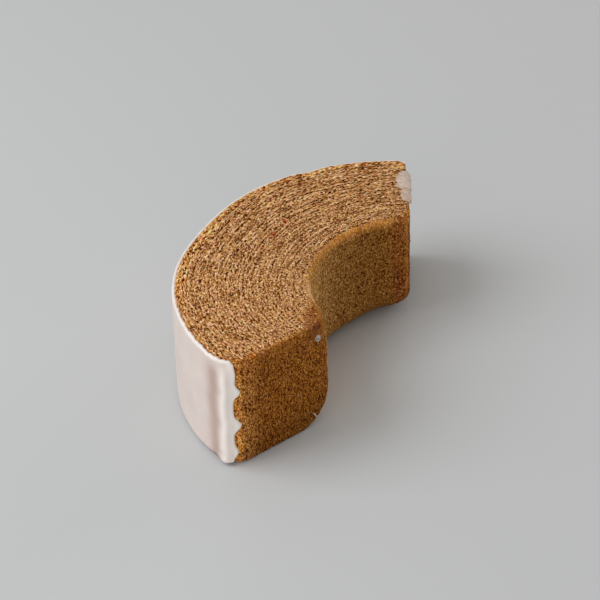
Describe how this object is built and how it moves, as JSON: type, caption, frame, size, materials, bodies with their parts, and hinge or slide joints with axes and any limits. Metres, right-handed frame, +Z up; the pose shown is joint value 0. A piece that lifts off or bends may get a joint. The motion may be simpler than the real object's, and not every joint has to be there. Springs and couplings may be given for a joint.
{
  "type": "baumkuchen",
  "caption": "Arc cut from a ring of layered baumkuchen with thin white sugar icing on its outer side, lying on a cut face; one portion of cake to serve or to set on a table.",
  "frame": {"origin": "centre of the piece's bounding box in X and Y, at its base, on the surface that it lies on", "axes": "+Z up, along the axis of the ring that the piece was cut from; +Y along the longest way of the arc, from its front end to its far end; +X from the iced outer side towards the hollow inner side"},
  "size_m": [0.0668, 0.146, 0.046],
  "materials": {
    "crumb": "matte baked sponge crumb, sandy brown with fine pores and darker ring lines, golden brown at its edges",
    "icing": "thin smooth sugar icing, milky white with a warm pink-grey tone, softly glossy"
  },
  "bodies": {
    "root": {"cake": "crumb", "icing": "icing", "icing_smear": "icing"}
  },
  "joints": []
}
